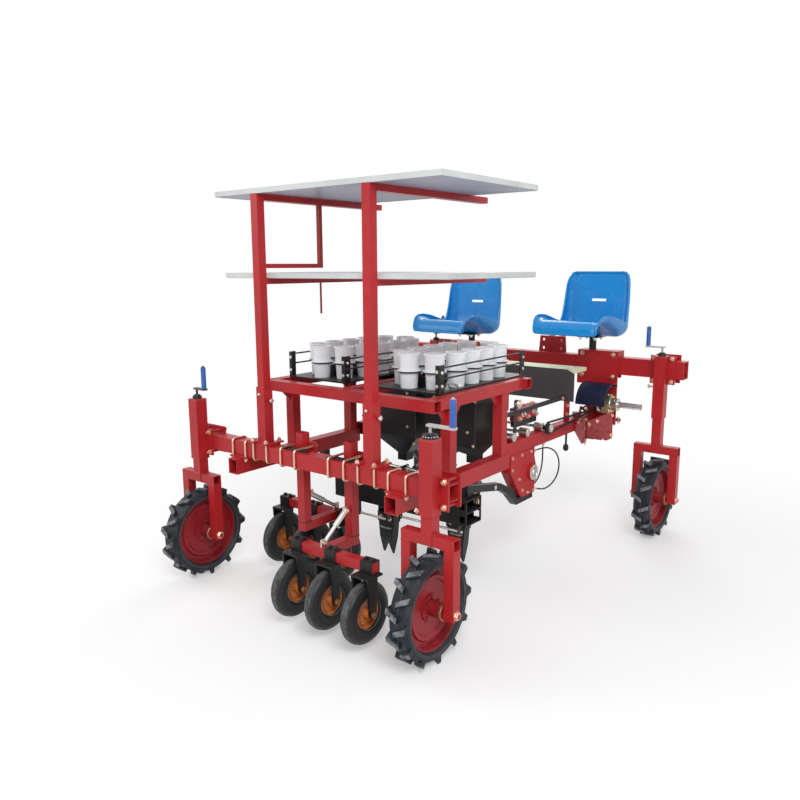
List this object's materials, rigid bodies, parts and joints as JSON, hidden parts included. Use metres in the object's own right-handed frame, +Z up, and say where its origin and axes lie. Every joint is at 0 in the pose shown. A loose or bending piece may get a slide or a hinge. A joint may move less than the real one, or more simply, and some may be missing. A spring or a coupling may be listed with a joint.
{
  "type": "vegetable transplanter",
  "caption": "Tractor-mounted vegetable transplanter: tube frame on lugged wheels, cup loops on a table, shelf rack, planting bills, press wheels, operator seats and hitch.",
  "frame": {"origin": "on the ground under the middle of the machine", "axes": "+Y the direction of travel, +X to the right of travel, +Z up"},
  "size_m": [1.984, 2.37, 1.8723],
  "materials": {
    "black_paint": "satin",
    "board": "painted",
    "bright_steel": "brushed",
    "cup_plastic": "satin",
    "farm_tyre": "matt",
    "grey_paint": "satin",
    "grip_plastic": "gloss",
    "hose_rubber": "satin",
    "orange_paint": "gloss",
    "press_tyre": "matt",
    "red_paint": "gloss",
    "seat_plastic": "satin",
    "shelf_sheet": "satin",
    "wheel_red": "gloss"
  },
  "bodies": {
    "root": {"bright_rods": "bright_steel", "chassis_beam_left": "red_paint", "chassis_beam_right": "red_paint", "crank_grips": "grip_plastic", "cup_rails": "black_paint", "cup_trays": "black_paint", "cups_left": "cup_plastic", "cups_right": "cup_plastic", "drive_case": "red_paint", "duckbills": "black_paint", "foot_board": "board", "front_toolbar": "red_paint", "hitch_brackets": "red_paint", "hitch_mast": "red_paint", "hose_inner": "hose_rubber", "hose_outer": "hose_rubber", "jack_cranks": "bright_steel", "leg_sleeves": "red_paint", "planter_bar": "black_paint", "planter_links": "black_paint", "press_forks": "black_paint", "press_gang_frames": "red_paint", "press_posts": "red_paint", "rack_post_left": "red_paint", "rack_post_right": "red_paint", "rear_screen": "grey_paint", "rear_toolbar": "red_paint", "screen_stays": "red_paint", "seat_columns": "black_paint", "seat_hangers": "red_paint", "seat_left": "seat_plastic", "seat_right": "seat_plastic", "seedling_chutes": "black_paint", "shaft_bearing": "red_paint", "shelf_middle": "shelf_sheet", "shelf_top": "shelf_sheet", "table_frame": "red_paint", "unit_rails": "red_paint", "wheel_forks": "red_paint"},
    "wheel_rear_left": {"wheel_disc_rear_left": "wheel_red", "wheel_tyre_rear_left": "farm_tyre"},
    "wheel_rear_right": {"wheel_disc_rear_right": "wheel_red", "wheel_tyre_rear_right": "farm_tyre"},
    "wheel_front_left": {"wheel_disc_front_left": "wheel_red", "wheel_tyre_front_left": "farm_tyre"},
    "wheel_front_right": {"wheel_disc_front_right": "wheel_red", "wheel_tyre_front_right": "farm_tyre"},
    "press_front_1": {"press_rim_front_1": "orange_paint", "press_tyre_front_1": "press_tyre"},
    "press_front_2": {"press_rim_front_2": "orange_paint", "press_tyre_front_2": "press_tyre"},
    "press_front_3": {"press_rim_front_3": "orange_paint", "press_tyre_front_3": "press_tyre"},
    "press_rear_1": {"press_rim_rear_1": "orange_paint", "press_tyre_rear_1": "press_tyre"},
    "press_rear_2": {"press_rim_rear_2": "orange_paint", "press_tyre_rear_2": "press_tyre"},
    "press_rear_3": {"press_rim_rear_3": "orange_paint", "press_tyre_rear_3": "press_tyre"},
    "shaft": {"drive_shaft": "bright_steel"}
  },
  "joints": [
    {"name": "spin_rear_left", "type": "hinge", "parent": "root", "child": "wheel_rear_left", "pos_m": [-0.75, -0.96, 0.225], "axis": [1, 0, 0], "continuous": true},
    {"name": "spin_rear_right", "type": "hinge", "parent": "root", "child": "wheel_rear_right", "pos_m": [0.662, -0.96, 0.225], "axis": [1, 0, 0], "continuous": true},
    {"name": "spin_front_left", "type": "hinge", "parent": "root", "child": "wheel_front_left", "pos_m": [-0.685, 0.96, 0.225], "axis": [1, 0, 0], "continuous": true},
    {"name": "spin_front_right", "type": "hinge", "parent": "root", "child": "wheel_front_right", "pos_m": [0.855, 0.96, 0.225], "axis": [1, 0, 0], "continuous": true},
    {"name": "spin_press_front_1", "type": "hinge", "parent": "root", "child": "press_front_1", "pos_m": [-0.49, -0.66, 0.16], "axis": [1, 0, 0], "continuous": true},
    {"name": "spin_press_front_2", "type": "hinge", "parent": "root", "child": "press_front_2", "pos_m": [-0.29, -0.66, 0.16], "axis": [1, 0, 0], "continuous": true},
    {"name": "spin_press_front_3", "type": "hinge", "parent": "root", "child": "press_front_3", "pos_m": [-0.09, -0.66, 0.16], "axis": [1, 0, 0], "continuous": true},
    {"name": "spin_press_rear_1", "type": "hinge", "parent": "root", "child": "press_rear_1", "pos_m": [0.003, -1.05, 0.16], "axis": [1, 0, 0], "continuous": true},
    {"name": "spin_press_rear_2", "type": "hinge", "parent": "root", "child": "press_rear_2", "pos_m": [0.203, -1.05, 0.16], "axis": [1, 0, 0], "continuous": true},
    {"name": "spin_press_rear_3", "type": "hinge", "parent": "root", "child": "press_rear_3", "pos_m": [0.403, -1.05, 0.16], "axis": [1, 0, 0], "continuous": true},
    {"name": "spin_shaft", "type": "hinge", "parent": "root", "child": "shaft", "pos_m": [0.775, 0.9013, 0.745], "axis": [1, 0, 0], "continuous": true}
  ]
}
